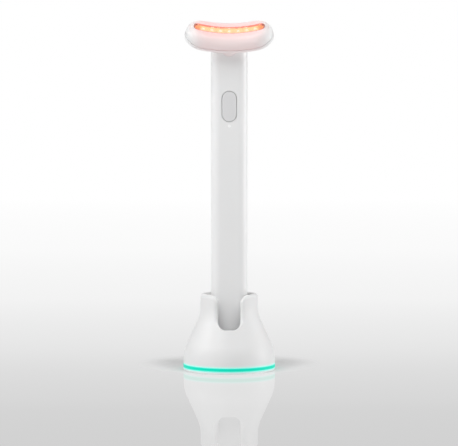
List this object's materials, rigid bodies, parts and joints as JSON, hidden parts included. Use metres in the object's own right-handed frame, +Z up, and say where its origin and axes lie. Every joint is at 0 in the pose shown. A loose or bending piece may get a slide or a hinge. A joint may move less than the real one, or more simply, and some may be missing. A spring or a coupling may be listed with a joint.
{
  "type": "light therapy wand",
  "caption": "Handheld red light therapy wand with a curled swivel head, standing in a notched bell-shaped charging dock with a glowing ring.",
  "frame": {"origin": "centre of the dock's underside, on the surface that it stands on", "axes": "+Z up along the wand, -Y towards the front, where the button and the dock's notch are, +X to the right seen from the front"},
  "size_m": [0.046, 0.046, 0.1743],
  "materials": {
    "dock_white": "gloss",
    "handle_white": "gloss",
    "head_white": "gloss",
    "head_back_white": "gloss",
    "button_white": "gloss",
    "light_guide": "glowing",
    "red_window": "glowing",
    "indicator": "glowing",
    "lamp_red": "glowing",
    "lamp_green": "glowing",
    "lamp_clear": "clear",
    "liner_grey": "satin",
    "inner_plastic": "satin",
    "black_plastic": "satin",
    "silicone_white": "matte",
    "seal_rubber": "matte",
    "board_green": "satin",
    "steel": "brushed",
    "cell_wrap": "satin",
    "gold": "polished",
    "nickel": "polished",
    "wire_red": "satin",
    "reflector_white": "gloss"
  },
  "bodies": {
    "base": {"base_shell": "dock_white", "socket_liner": "liner_grey", "light_ring": "light_guide", "base_plate": "dock_white", "foot_pad": "silicone_white", "ballast_weight": "steel", "base_board": "board_green", "base_screws": "steel", "ring_lamps": "lamp_green", "charge_chip": "black_plastic", "port_shell": "nickel", "port_tongue": "black_plastic", "pin_block": "black_plastic", "pin_barrels": "gold"},
    "charging_pins": {"charging_pins": "gold"},
    "handle": {"handle_shell": "handle_white", "end_cap": "handle_white", "end_cap_seal": "seal_rubber", "contact_pads": "gold", "handle_frame": "inner_plastic", "battery_cell": "cell_wrap", "battery_tabs": "nickel", "cell_pads": "seal_rubber", "main_board": "board_green", "board_screws": "steel", "control_chips": "black_plastic", "charge_leads": "wire_red", "lead_socket": "inner_plastic", "tact_switch": "black_plastic", "indicator_lens": "indicator", "indicator_lamp": "lamp_clear", "motor_case": "nickel"},
    "button": {"power_button": "button_white", "switch_plunger": "black_plastic"},
    "motor_rotor": {"motor_shaft": "steel", "motor_weight": "steel"},
    "head": {"head_front_shell": "head_white", "head_back_shell": "head_back_white", "head_seal": "seal_rubber", "window_gasket": "seal_rubber", "window_lens": "red_window", "light_reflector": "reflector_white", "lamp_board": "board_green", "red_lamps": "lamp_red", "stem_seal": "seal_rubber", "stem_washer": "inner_plastic", "stem_clip": "steel", "head_lead": "wire_red"}
  },
  "joints": [
    {"name": "wand_lift", "type": "slide", "parent": "base", "child": "handle", "axis": [0, 0, 1], "range_m": [0, 0.04]},
    {"name": "head_swivel", "type": "hinge", "parent": "handle", "child": "head", "pos_m": [0, -0.01, 0.1692], "axis": [0, -0.6428, 0.766], "range_deg": [-90, 90]},
    {"name": "button_press", "type": "slide", "parent": "handle", "child": "button", "axis": [0, 1, 0], "range_m": [0, 0.00035], "stiffness_N_per_m": 800, "springref_m": -0.0005},
    {"name": "pin_press", "type": "slide", "parent": "base", "child": "charging_pins", "axis": [0, 0, 1], "range_m": [-0.0006, 0], "stiffness_N_per_m": 300, "springref_m": 0.001},
    {"name": "motor_spin", "type": "hinge", "parent": "handle", "child": "motor_rotor", "pos_m": [0, 0.0024, 0.138], "axis": [0, 0, 1], "continuous": true}
  ]
}
